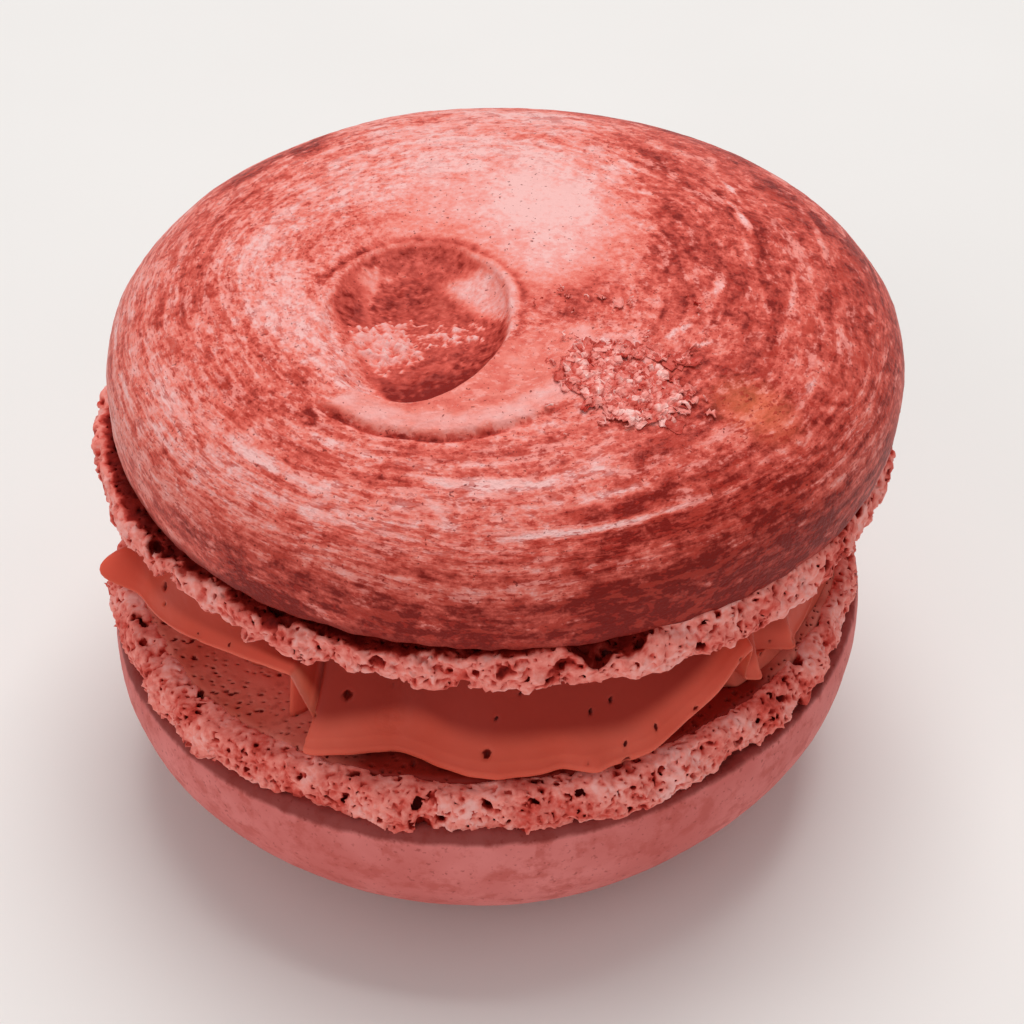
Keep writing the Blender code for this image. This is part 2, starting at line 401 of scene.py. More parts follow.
lower_skin_finish, board, shader = finish_board("lower_skin_finish", 0.58)
place = board.place()
wash = board.noise(place, 160.0, 3.0, 0.55)
mottle = board.noise(place, 700.0, 4.0, 0.65)
specks = board.noise(place, 3200.0, 2.0, 0.6)
skin = board.blend(wash.rise(0.3, 0.7), (0.64, 0.150, 0.135, 1), (0.78, 0.235, 0.22, 1))
skin = board.blend(mottle.rise(0.46, 0.66) * 0.75, skin, (0.56, 0.105, 0.088, 1))
skin = board.blend(specks.rise(0.60, 0.74) * 0.6, skin, (0.34, 0.05, 0.042, 1))
in_mm = board.scaled(place, 1 / MM)
x, y, z = board.split(in_mm)
from_edge = z - x * LOWER_SLOPE + (mottle - 0.5) * 0.5
# Painted shade: the skin is darkened in a band just below its edge, where the foot overhangs it.
shade_under_foot = from_edge.rise(LOWER_SKIN_EDGE - FOOT_SHADE_BAND, LOWER_SKIN_EDGE) * 0.75
skin = board.blend(shade_under_foot, skin, (0.16, 0.010, 0.007, 1))
bumpy = specks * 0.5 + mottle * 0.5
connect(board, shader, Base_Color=skin, Normal=relief(board, bumpy, 0.05, 0.5))

tree, board, (geometry, dents, wrinkles) = growth("baked_skin", dents=0.1, wrinkles=0.02)
in_mm, x, y, z, radius = place_in_mm(board, LOWER_CENTRE)
above_rest = z.rise(0.0, 2.0)
swell = (board.noise(in_mm, 0.16, 2.0) - 0.5) * dents * 2
creases = (board.noise(in_mm, 1.6, 3.0) - 0.5) * wrinkles * 2
fuller = side(x, y, -122.0, 75.0) * 0.42
edge = z.rise(LOWER_SKIN_EDGE - 0.8, LOWER_SKIN_EDGE)
ragged = (board.noise(in_mm, 0.9, 3.0, 0.65) - 0.5) * edge * 0.6
tilt = x * LOWER_SLOPE * (z / LOWER_EQUATOR).math("MINIMUM", 1.0)
geometry = push(board, geometry, (swell + creases + fuller) * above_rest, tilt + ragged)
grow(lower_skin, tree, board, geometry, {"dents": 0.12, "wrinkles": 0.03}, lower_skin_finish)
put_on(lower_skin, "lower_shell")

# ------------------------------------------------------------
# The feet.
# The frothy collar that each shell's batter throws up as it bakes: open bubbles, torn ridges and
# pits between the smooth skin and the flat face, the pits darkened with painted shade. Each is
# grown as a foam round its shell.

FOAM_REACH = 22.7
STRAY_POINTS = 20000
FOOT_TRIANGLES = 194000


def foam_tree(centre, slope, lowest, highest, seed, flares, cracks, inward=0.0):
    """A ring of foam between two heights, bulging at the flares and pulled back at the cracks.
    Its top may fall away inwards, by a number of mm for each mm."""
    numbers = {"outer": 21.0, "inner": 19.0, "bottom": 0.0, "top": 2.7, "voxel": 0.1}
    tree, board, flows = growth(f"foam_{seed}", **numbers)
    geometry, outer, inner, bottom, top, voxel = flows
    place = board.node("GeometryNodeInputPosition")
    x, y, z = board.split(place)
    level = z - x * slope[0] - y * slope[1]
    radius = (x * x + y * y).math("SQRT")
    shift = board.added(place, (seed * 17.0, 0, 0))
    waves = board.noise(shift, 0.22, 1.0)
    lumps = board.noise(shift, 0.8, 3.0, 0.65)
    knobs = board.noise(shift, 2.4, 2.0, 0.6)
    share = (level - bottom) / (top - bottom)
    belly = 1 - ((share - 0.45) * 2).math("ABSOLUTE").math("POWER", 2.0)
    rim = outer - 1.95 + waves * 1.4 + belly * 0.4 + lumps * 1.7 + (knobs - 0.5) * 0.35
    for degrees, spread, amount in flares:
        rim = rim + side(x, y, degrees, spread) * amount
    crack = radius * 0.0
    for degrees, spread, amount in cracks:
        crack = crack + side(x, y, degrees, spread) * amount
    skin_depth = rim - radius
    edge_wave = (board.noise(shift, 0.8, 2.0) - 0.5) * 0.7
    ceiling = top + edge_wave - crack * (0.3 + lumps * 1.4) * radius.rise(outer - 2.6, outer - 1.6)
    ceiling = ceiling - (outer - 1.3 - radius).math("MAXIMUM", 0.0) * inward
    depth = skin_depth.math("SMOOTH_MIN", ceiling - level, 0.3)
    depth = depth.math("SMOOTH_MIN", level - bottom + edge_wave, 0.3)
    depth = depth.math("MINIMUM", radius - inner)
    crust = (depth - 0.75).math("MAXIMUM", 0.0) * 3
    patchy = board.noise(shift, 0.7, 1.0)
    hollows = board.cells(shift, 0.7) / 0.7 - (patchy - 0.36).math("MAXIMUM", 0.0) * 1.7
    hollows = hollows - crack * 0.16 + crust
    bubbles = board.cells(shift, 1.6) / 1.6 - patchy * 0.32 + crust
    pricks = board.cells(shift, 3.4) / 3.4 - 0.09 + crust
    pitted = depth.math("SMOOTH_MIN", hollows, 0.12)
    pitted = pitted.math("SMOOTH_MIN", bubbles, 0.08)
    pitted = pitted.math("SMOOTH_MIN", pricks, 0.04)
    grit = (board.noise(shift, 4.5, 2.0) - 0.5) * 0.10
    solid = ((pitted + grit) * 1.6 + 0.5).math("MINIMUM", 1.0).math("MAXIMUM", 0.0)
    sockets = {
        "Density": solid,
        "Min": board.xyz(-FOAM_REACH, -FOAM_REACH, lowest),
        "Max": board.xyz(FOAM_REACH, FOAM_REACH, highest),
        "Resolution X": 2 * FOAM_REACH / voxel,
        "Resolution Y": 2 * FOAM_REACH / voxel,
        "Resolution Z": (highest - lowest) / voxel,
    }
    block = board.node("GeometryNodeVolumeCube", {}, sockets)
    mesh = board.node("GeometryNodeVolumeToMesh", {}, {"Volume": block, "Threshold": 0.5})
    island = board.node("GeometryNodeInputMeshIsland")
    settings = {"data_type": "INT", "domain": "POINT"}
    sockets = {"Value": 1, "Group ID": island}
    tally = board.node("GeometryNodeAccumulateField", settings, sockets, "Total")
    settings = {"data_type": "INT", "operation": "LESS_THAN"}
    stray = board.node("FunctionNodeCompare", settings, {2: tally, 3: STRAY_POINTS})
    mesh = board.node("GeometryNodeDeleteGeometry", {"domain": "POINT"}, {0: mesh, 1: stray})
    # Painted shade: the recess under the skin at the cracks is added to the pit depth, so its froth
    # is coloured dark.
    recess_shade = ((skin_depth - 0.2) * 1.3).math("MINIMUM", 0.42)
    recess_shade = recess_shade * crack.rise(0.0, 0.3) * share.rise(0.2, 0.5)
    mesh = board.marked(mesh, "pit", depth.math("MAXIMUM", recess_shade))
    middle = (centre[0] * MM, centre[1] * MM, 0.0)
    sockets = {"Geometry": mesh, "Translation": middle, "Scale": (MM, MM, MM)}
    return tree, board, board.node("GeometryNodeTransform", {}, sockets)


def thin_out(piece, most):
    """Merge a mesh's smallest faces until it has at most a number of triangles."""
    count = sum(len(face.vertices) - 2 for face in piece.data.polygons)
    if count > most:
        modifier = piece.modifiers.new("thin", "DECIMATE")
        modifier.ratio = most / count
        evaluated = piece.evaluated_get(bpy.context.evaluated_depsgraph_get())
        made = bpy.data.meshes.new_from_object(evaluated)
        piece.modifiers.remove(modifier)
        piece.data = made


def foam_finish(name):
    """Dry froth: pale on its torn ridges, darkened to deep red down in its pits and recesses as
    painted shade.
    """
    material, board, shader = finish_board(name, 0.62)
    place = board.place()
    pit = board.mark("pit")
    tint = board.noise(place, 450.0, 3.0, 0.6)
    grain = board.noise(place, 2400.0, 3.0, 0.6)
    stops = [
        (0.0, (0.99, 0.48, 0.44, 1)),
        (0.2, (0.95, 0.29, 0.24, 1)),
        (0.42, (0.72, 0.095, 0.070, 1)),
        (0.65, (0.34, 0.016, 0.010, 1)),
        (1.0, (0.11, 0.001, 0.0005, 1)),
    ]
    # Painted shade: the deeper a place lies in a pit, the darker and redder its colour.
    amount = pit * 1.6 + (tint - 0.5) * 1.0 + (grain - 0.5) * 0.5 + 0.19
    froth = board.ramp(amount, stops)
    connect(board, shader, Base_Color=froth, Normal=relief(board, grain, 0.05, 0.7))
    return material


VOXEL = 0.115
foot_finish = foam_finish("foot_finish")
lower_foot = empty_piece("lower_foot")
lower_flares = [(-160.0, 40.0, 0.35), (-90.0, 60.0, 0.1), (10.0, 90.0, -0.35)]
span = (LOWER_SKIN_EDGE - 1.2, LOWER_FACE + 1.4)
lower_slope = (LOWER_SLOPE, 0.0)
tree, board, foam = foam_tree(LOWER_CENTRE, lower_slope, *span, 1, lower_flares, [], 0.55)
sizes = {
    "outer": LOWER_RADIUS - 0.1,
    "inner": LOWER_RADIUS - 2.5,
    "bottom": LOWER_SKIN_EDGE + 0.1,
    "top": LOWER_FACE - 0.05,
    "voxel": VOXEL,
}
grow(lower_foot, tree, board, foam, sizes, foot_finish)
thin_out(lower_foot, FOOT_TRIANGLES)
put_on(lower_foot, "lower_shell")

# ------------------------------------------------------------
# The lower shell's flat face.
# The side that lay on the baking sheet: level, darkened in front with painted shade under the
# filling's skirt, and pricked all over with the small round mouths of burst bubbles, whose insides
# are darkened with painted shade.

FACE_ROUND = 0.35
face_edge = LOWER_RADIUS - 1.45
face_top = LOWER_FACE - 0.02
face_profile = [(0.0, face_top - 1.2), (face_edge - 0.2, face_top - 1.2)]
round_centre = (face_edge - FACE_ROUND, face_top - FACE_ROUND)
face_profile += arc_profile(round_centre, (FACE_ROUND, FACE_ROUND), -20, 90, 8)
face_profile += [(face_edge - FACE_ROUND - 0.1 * step, face_top) for step in range(1, 64)]
face_profile += [(0.0, face_top)]
lower_face = turned("lower_face", face_profile, 1100, LOWER_CENTRE)

face_finish, board, shader = finish_board("face_finish", 0.45)
place = board.place()
pit = board.mark("pit")
wash = board.noise(place, 220.0, 3.0, 0.55)
grain = board.noise(place, 1500.0, 3.0, 0.6)
colour = board.blend(wash.rise(0.3, 0.7), (0.62, 0.115, 0.075, 1), (0.80, 0.23, 0.175, 1))
# Painted shade: the pores are coloured dark by their depth.
colour = board.blend(pit.rise(0.02, 0.12), colour, (0.20, 0.014, 0.010, 1))
colour = board.blend(grain.rise(0.5, 0.75) * 0.5, colour, (0.42, 0.07, 0.05, 1))
in_mm = board.scaled(place, 1 / MM)
x, y, z = board.split(in_mm)
# Painted shade: the face is darkened in front, under the filling's skirt.
shade_under_skirt = side(x, y, -78.0, 44.0).rise(0.0, 0.5)
colour = board.blend(shade_under_skirt, colour, (0.26, 0.016, 0.010, 1))
connect(board, shader, Base_Color=colour, Normal=relief(board, grain, 0.05, 0.5))

tree, board, (geometry, pore_depth) = growth("pored_face", pore_depth=0.4)
in_mm, x, y, z, radius = place_in_mm(board, LOWER_CENTRE)
wide = board.noise(in_mm, 1.1, 1.0).rise(0.46, 0.78) * 0.17
pores = 1 - (board.cells(in_mm, 0.85, "2D") / 0.85 - wide).rise(0.0, 0.055)
fine_pores = 1 - (board.cells(in_mm, 1.9, "2D") / 1.9 - wide * 0.4).rise(0.01, 0.06)
pores = pores.math("MAXIMUM", fine_pores)
pores = pores * z.rise(face_top - 0.4, face_top - 0.1)
sunk = pores * pore_depth
swell = (board.noise(in_mm, 0.45, 2.0) - 0.5) * 0.3 * z.rise(LOWER_FACE - 1.0, LOWER_FACE - 0.2)
geometry = board.marked(geometry, "pit", sunk)
geometry = push(board, geometry, sunk * 0.0, x * LOWER_SLOPE - sunk + swell)
grow(lower_face, tree, board, geometry, {"pore_depth": 0.35}, face_finish)
put_on(lower_face, "lower_shell")

# ------------------------------------------------------------
# The filling.
# Smooth coral ganache, piped on the lower shell and pressed out by the upper one: a wide skirt in
# front, a thin brim drawn to a point at the left, small lobes at the right.

UPPER_SLOPE = (0.0205, -0.0125)
UPPER_FACE = upper_high.z / MM - 12.93
BRIM_ROUND = 0.13
SKIRT_ROUND = 0.30


def soft_step(value):
    """0 below 0, 1 above 1, smooth between."""
    value = np.clip(value, 0, 1)
    return value * value * (3 - 2 * value)


def window(angle, start, end, soft_start, soft_end):
    """1 from one angle in degrees to another, over soft ends, and 0 elsewhere."""
    return soft_step((angle - start) / soft_start + 0.5) * soft_step((end - angle) / soft_end + 0.5)


def bump(angle, centre, width):
    """1 at an angle in degrees, falling away over a width to each side."""
    away = (angle - centre + 180) % 360 - 180
    return np.exp(-((away / width) ** 2))


def ripple(angle, turns, seed):
    """A smooth irregular wave round the biscuit, about -1 to 1."""
    angle = np.radians(angle)
    wave = sum(np.sin(angle * (turns + step) + seed * (step + 1.7)) for step in range(4))
    return wave / 2.5


columns = np.linspace(-180, 180, 1000, endpoint=False)
FRONT_SPAN = (-118.5, -50.4)
LEFT_SPAN = (-166.0, -119.2)
in_front = window(columns, *FRONT_SPAN, 0.7, 2.0)
in_left = window(columns, *LEFT_SPAN, 12.0, 0.7)
behind = 1 - in_front - in_left

brim_back = 19.3 + 0.5 * np.cos(np.radians(3 * columns) + 0.4) + 0.2 * ripple(columns, 5, 2.0)
lobes = ((-47.4, 1.5, 0.7), (-43.8, 2.6, -1.1), (-39, 1.5, 0.5), (-12, 21, -1.9))
for degrees, width, rise in lobes:
    brim_back += rise * bump(columns, degrees, width)
brim_front = 20.9 + 0.5 * bump(columns, -118, 3) - 1.25 * bump(columns, -105, 7)
brim_front -= 1.1 * soft_step((columns + 74) / 30)
torn_edge = 0.05 * ripple(columns, 31, 1.0) + 0.03 * ripple(columns, 83, 4.0)
torn_edge += 0.28 * bump(columns, -77, 1.8) - 0.40 * bump(columns, -82, 2.0)
torn_edge *= in_front
horn = 1.85 * bump(columns, -156.5, 2.0)
brim_left = 21.2 + horn + 0.08 * ripple(columns, 9, 3.0)
brim = brim_back * behind + brim_front * in_front + brim_left * in_left

core = 16.4 + 1.4 * in_front + 1.8 * behind + 0.25 * ripple(columns, 9, 5.0)
core += 2.3 * bump(columns, -125, 2.2) + 0.9 * bump(columns, -139, 3.0)
front_level = 0.107 + 0.60 * soft_step((columns + 74) / 28)
left_level = 0.86 - 0.42 * soft_step((-119 - columns) / 40) + 0.32 * bump(columns, -158, 3.4)
left_level -= 0.02 * ripple(columns, 7, 1.0)
brim_level = 0.14 * behind + front_level * in_front + left_level * in_left
brim_round = BRIM_ROUND + (SKIRT_ROUND - BRIM_ROUND) * in_front
lip = brim + torn_edge


def lower_plane(x, y):
    """The height of the lower shell's face in mm, which tilts with its shell."""
    return LOWER_FACE + LOWER_SLOPE * (x - LOWER_CENTRE.x)


def upper_plane(x, y):
    """The height of the upper shell's face in mm, which tilts with its shell."""
    east, north = UPPER_SLOPE
    return UPPER_FACE + east * (x - UPPER_CENTRE.x) + north * (y - UPPER_CENTRE.y)


def filling_row(radius, level, drop=0.0):
    """One ring of the filling, at radii and levels between the shells, lowered by a drop in mm."""
    x = UPPER_CENTRE.x + radius * np.cos(np.radians(columns))
    y = UPPER_CENTRE.y + radius * np.sin(np.radians(columns))
    low = lower_plane(x, y)
    height = low + (upper_plane(x, y) - low) * level - drop
    return np.stack([x, y, height], axis=1)


rows = []
wall_rows = 46
for step in np.linspace(0, 1, 16):
    rows.append(filling_row(core + 0.3 * (1 - step) ** 2, brim_level * step * 0.94))
for step in np.linspace(0.06, 1, 16):
    reached = core + (lip - brim_round - core) * step
    rows.append(filling_row(reached, brim_level * (0.94 + 0.06 * step), brim_round * step))
for turn in np.radians(np.linspace(-70, 70, 9)):
    out = brim_round * math.cos(turn)
    rows.append(filling_row(lip - brim_round + out, brim_level, -brim_round * math.sin(turn)))
drawn_in = 2.5 * in_front + 1.2 * in_left + 1.2 * behind
for step in np.linspace(0.05, 1, wall_rows):
    rolled = 0.1 + 0.22 * in_front * (1 - math.exp(-((step / 0.1) ** 2)))
    wall = brim - rolled + torn_edge * (1 - step) ** 9 - drawn_in * (1 - (1 - step) ** 1.9)
    wall -= horn * (1 - math.exp(-((step / 0.2) ** 2)))
    rows.append(filling_row(wall, brim_level + (1 - brim_level) * step, -brim_round * (1 - step)))
rows.append(filling_row(np.minimum(brim - 3.2, 16.5), 1.0))

filling = ringed("filling_body", (*LOWER_CENTRE, LOWER_FACE), rows, (*UPPER_CENTRE, UPPER_FACE))
up_wall = np.clip((np.arange(len(rows)) - (len(rows) - 2 - wall_rows)) / wall_rows, 0, 1)
up_mark = filling.data.attributes.new("up_wall", "FLOAT", "POINT")
up_mark.data.foreach_set("value", np.concatenate([[0.0], np.repeat(up_wall, len(columns)), [1.0]]))

filling_finish, board, shader = finish_board("filling_finish", 0.36, 0.15, 0.0015)
place = board.place()
pit = board.mark("pit")
up = board.mark("up_wall")
wash = board.noise(place, 140.0, 3.0, 0.5)
grain = board.noise(place, 1800.0, 3.0, 0.6)
colour = board.blend(wash.rise(0.3, 0.7), (0.68, 0.095, 0.056, 1), (0.78, 0.140, 0.090, 1))
in_mm = board.scaled(place, 1 / MM)
x, y, z = board.split(in_mm)
in_skirt = side(x, y, -88.0, 46.0).rise(0.0, 0.5)
# Painted shade: the wall is darkened towards its top, where it lies under the upper shell, most of
# all in the skirt.
shade_under_shell = (up + (wash - 0.5) * 0.2).rise(0.07, 0.27) * (0.5 + in_skirt * 0.5)
colour = board.blend(shade_under_shell * 0.95, colour, (0.32, 0.026, 0.016, 1))
# Painted shade: the pores are coloured dark by their depth.
colour = board.blend(pit.rise(0.03, 0.15), colour, (0.20, 0.012, 0.008, 1))
puckered = x.peak(-5.6, 1.5) * z.peak(15.9, 1.1)
roughness = 0.40 - puckered * 0.22
puckers = grain * 0.4 + board.noise(place, 3600.0, 2.0) * puckered
bump_flow = relief(board, puckers, 0.04, 0.6)
connect(board, shader, Base_Color=colour, Roughness=roughness, Normal=bump_flow)

tree, board, (geometry, pore_depth) = growth("ganache_pores", pore_depth=0.3)
in_mm, x, y, z, radius = place_in_mm(board, UPPER_CENTRE)
pores = 1 - (board.cells(in_mm, 0.40) / 0.40).rise(0.17, 0.26)
pores = pores.math("MAXIMUM", 1 - (board.cells(in_mm, 0.8) / 0.8).rise(0.06, 0.12))
pores = pores * radius.rise(17.5, 18.5)
swell = (board.noise(in_mm, 0.3, 2.0) - 0.5) * 0.2 + (board.noise(in_mm, 3.0, 2.0) - 0.5) * 0.03
puckered = x.peak(-5.6, 1.3) * z.peak(15.9, 1.0) * radius.rise(17.5, 18.5)
swell = swell + (board.noise(in_mm, 3.2, 2.0) - 0.5) * puckered * 0.22
geometry = board.marked(geometry, "pit", pores * pore_depth)
geometry = push(board, geometry, swell - pores * pore_depth, x * 0.0)
grow(filling, tree, board, geometry, {"pore_depth": 0.45}, filling_finish)
put_on(filling, "filling")

# ------------------------------------------------------------
# The upper shell's foot, grown as the lower one is, with its torn side above the filling.
# It has come away from the skin above it at the left and in one notch at the front.

UPPER_RADIUS = (upper_high.x - upper_low.x) / 2 / MM - 0.32
UPPER_SKIN_EDGE = UPPER_FACE + 2.7
UPPER_EQUATOR = UPPER_FACE + 5.3

upper_foot = empty_piece("upper_foot")
upper_flares = [(-172.0, 34.0, 0.95), (10.0, 60.0, -0.3)]
upper_cracks = [(-122.0, 48.0, 0.95), (-76.0, 6.5, 1.3), (-160.0, 30.0, 0.3)]
span = (UPPER_FACE - 1.0, UPPER_SKIN_EDGE + 1.0)
tree, board, foam = foam_tree(UPPER_CENTRE, UPPER_SLOPE, *span, 2, upper_flares, upper_cracks)
sizes = {
    "outer": UPPER_RADIUS + 0.1,
    "inner": UPPER_RADIUS - 2.6,
    "bottom": UPPER_FACE,
    "top": UPPER_SKIN_EDGE + 0.1,
    "voxel": VOXEL,
}
grow(upper_foot, tree, board, foam, sizes, foot_finish)
thin_out(upper_foot, FOOT_TRIANGLES)
put_on(upper_foot, "upper_shell")

# ------------------------------------------------------------
# The upper shell's skin.
# Two batters, one pale and one brick red, swirled together as the shell was piped, then baked to
# a satin crust. The piping tip left a hollow beside the crown, with a lip that curls round it.

CROWN_RISE = 7.5
BOWL = (-4.4, -6.7)
BOWL_HALF = (4.7, 6.15)
BOWL_DEPTH = 1.5
RIM = (-4.5, -6.3)
RIM_HALF = (5.4, 5.9)
TAIL = (-2.6, -9.0)
TAIL_HALF = (7.2, 6.0)
TAIL_HEIGHT = 0.34
SHOULDER_RISE = 3.9
SWIRL_START = (-3.4, -4.8)

upper_profile = []
for inwards, rise in ((UPPER_RADIUS, 0.15), (1.9, 0.15), (1.0, 0.1), (0.55, -0.02)):
    upper_profile.append((UPPER_RADIUS - inwards, UPPER_SKIN_EDGE + rise))
upper_tuck = UPPER_EQUATOR - UPPER_SKIN_EDGE
upper_profile += arc_profile((UPPER_RADIUS - 0.35, UPPER_EQUATOR), (0.35, upper_tuck), -90, -4, 14)
fine_dome = dome_profile(UPPER_RADIUS, CROWN_RISE, (2.68, 2.04), 240)
coarse_dome = [pair for index, pair in enumerate(fine_dome) if pair[0] > 16 and index % 3 == 0]
fine_dome = [pair for pair in fine_dome if pair[0] <= 16]
upper_profile += [(out, UPPER_EQUATOR + rise) for out, rise in reversed(fine_dome + coarse_dome)]
upper_profile += [(0.0, UPPER_EQUATOR + CROWN_RISE)]
upper_skin = turned("upper_skin", upper_profile, 480, UPPER_CENTRE)


def oval(x, y, centre, half):
    """Distance from a centre, 1 on an oval of two half widths round it."""
    across = (x - centre[0]) / half[0]
    along = (y - centre[1]) / half[1]
    return (across * across + along * along).math("SQRT")


def dash(x, y, centre, degrees, length, width):
    """1 along the middle of a short stroke that points the way of an angle, 0 at its edge."""
    turn = math.radians(degrees)
    east = x - centre[0]
    north = y - centre[1]
    along = (east * math.cos(turn) + north * math.sin(turn)) / (length / 2)
    across = (north * math.cos(turn) - east * math.sin(turn)) / (width / 2)
    return 1 - (along * along + across * across).math("SQRT").rise(0.3, 1.0)


def blot(x, y, centre, half, start=0.5):
    """1 inside an oval, fading to 0 at its edge."""
    return 1 - oval(x, y, centre, half).rise(start, 1.0)


def shape_of_hollow(board, x, y):
    """The hollow's parts: distances out of its bowl and rim, and its rim line of painted shade, its
    tail and the painted shadow under the tail's lip.
    """
    flat = board.xyz(x, y, 0.0)
    x = x + (board.noise(flat, 0.30, 2.0, 0.35) - 0.5) * 0.7
    y = y + (board.noise(flat, 0.27, 2.0, 0.35) - 0.5) * 0.6
    bowl = oval(x, y, BOWL, BOWL_HALF)
    rim = oval(x, y, RIM, RIM_HALF)
    tail = oval(x, y, TAIL, TAIL_HALF)
    soft = board.noise(flat, 0.8, 2.0).rise(0.25, 0.6) * 0.7 + 0.3
    far_side = side(x - RIM[0], y - RIM[1], 62.0, 130.0).rise(0.0, 0.5)
    # Painted shade: a dark line along the far side of the rim.
    rim_line = rim.peak(1.0, 0.085) * far_side * soft
    past_tip = x * 0.36 - y - 8.86
    on_tail = (1 - tail.rise(0.965, 1.005)) * bowl.rise(0.99, 1.05) * past_tip.rise(-0.3, 0.9)
    # Painted shadow: a dark band just outside the tail's edge, under its lip.
    shadow_under_tail = tail.peak(1.015, 0.032) * past_tip.rise(0.0, 1.2) * (1 - x.rise(-1.0, 3.5))
    return bowl, rim, rim_line, tail, on_tail, shadow_under_tail


def crust_in_hollow(board, x, y):
    """Where a crust of torn sugar lies in the hollow, and how high its crumbs stand there."""
    crumbs = board.noise(board.xyz(x, y, 0.0), 2.3, 4.0, 0.7)
    east = x + (board.noise(board.xyz(x, y, 3.0), 0.9, 3.0, 0.6) - 0.5) * 2.6
    north = y + (board.noise(board.xyz(x, y, 7.0), 0.9, 3.0, 0.6) - 0.5) * 2.6
    near = blot(east, north, (-5.9, -7.5), (3.0, 2.3), 0.35)
    return near.math("MAXIMUM", blot(east, north, (-2.8, -6.9), (3.2, 1.9), 0.0) * 0.7), crumbs


def swirl_lane(board, in_mm, x, y, z, radius):
    """How far out along the skin a place is: its lane in the piped swirl, which starts beside the
    hollow, and its ring round the middle. The last of the three draws a noise out along lanes."""
    down_side = (UPPER_EQUATOR + SHOULDER_RISE - z).math("MAXIMUM", 0.0) * 0.9
    wander = (board.noise(in_mm, 0.09, 2.0) - 0.5) * 2.4
    pull = (1 - radius * radius / UPPER_RADIUS ** 2).math("MAXIMUM", 0.0)
    east = x - SWIRL_START[0] * pull
    north = y - SWIRL_START[1] * pull
    around = (east * east + north * north).math("SQRT")
    east = east / (around + 0.6)
    north = north / (around + 0.6)

    def drawn(lane, stretch, scale, detail, roughness):
        place = board.xyz(lane, east * stretch, north * stretch)
        return board.noise(place, scale, detail, roughness)

    return around + down_side + wander, radius + down_side + wander, drawn


tree, board, (geometry, ridges, wrinkles) = growth("swirled_crown", ridges=0.05, wrinkles=0.02)
in_mm, x, y, z, radius = place_in_mm(board, UPPER_CENTRE)
lane, ring, drawn = swirl_lane(board, in_mm, x, y, z, radius)
streaks = drawn(lane, 6, 1.3, 4.0, 0.62)
clouds = board.noise(in_mm, 0.30, 3.0, 0.6)
crumb = board.noise(in_mm, 1.6, 4.0, 0.65)
grain = board.noise(in_mm, 4.0, 3.0, 0.6)
bowl, rim, rim_line, tail, on_tail, shadow_under_tail = shape_of_hollow(board, x, y)
crust, crumbs = crust_in_hollow(board, x, y)

from_pale = x - 7.4 + (y + 2.0) * (y + 2.0) * 0.012 + (streaks - 0.5) * 2.4 + (crumb - 0.5) * 1.2
patches = from_pale.rise(-0.8, 1.3) * (0.26 + side(x, y, 10.0, 60.0) * 0.08)
for degrees, spread, start, end, amount in (
    (-62.0, 45.0, 17.5, 22.0, 0.07),
    (-92.0, 62.0, 13.6, 15.4, 0.16),
    (-98.0, 70.0, 22.6, 25.0, 0.36),
):
    patches = patches + side(x, y, degrees, spread) * ring.rise(start, end) * amount
for degrees, spread, at, wide, amount in (
    (-84.0, 36.0, 17.8, 2.4, -0.12),
    (178.0, 60.0, 15.5, 5.0, 0.16),
    (-152.0, 62.0, 12.6, 2.6, -0.28),
    (-130.0, 40.0, 19.5, 2.5, -0.18),
):
    patches = patches + side(x, y, degrees, spread) * ring.peak(at, wide) * amount
for centre, half, start, amount in (
    ((-14.0, 12.0), (5.0, 6.0), 0.2, 0.18),
    ((-1.0, 8.0), (11.0, 10.5), 0.3, -0.22),
    ((2.4, 2.0), (4.6, 8.5), 0.3, -0.30),
    ((4.0, -6.2), (3.4, 3.6), 0.2, 0.22),
):
    patches = patches + blot(x, y, centre, half, start) * amount
smudged_x = x + (clouds - 0.5) * 3
smudged_y = y + (streaks - 0.5) * 3
patches = patches + dash(smudged_x, smudged_y, (-10.6, 12.4), 68.0, 7.5, 2.4) * 0.38
frayed_x = x + (crumb - 0.5) * 0.9
frayed_y = y + (streaks - 0.5) * 0.9
for centre, degrees, length, width in (
    ((8.4, -7.9), 38.0, 2.6, 0.5),
    ((9.6, -8.6), 10.0, 1.3, 0.4),
    ((7.0, -9.4), 20.0, 1.6, 0.45),
    ((12.3, 2.6), 106.0, 2.2, 0.9),
    ((10.6, -4.2), 75.0, 2.0, 0.7),
    ((14.8, -9.6), 60.0, 1.3, 0.5),
    ((6.6, -13.9), 25.0, 1.6, 0.5),
    ((11.6, -13.6), 50.0, 1.3, 0.5),
    ((2.6, -8.8), 20.0, 2.4, 0.7),
    ((12.0, 6.0), 120.0, 2.5, 0.6),
):
    patches = patches - dash(frayed_x, frayed_y, centre, degrees, length, width) * 0.6

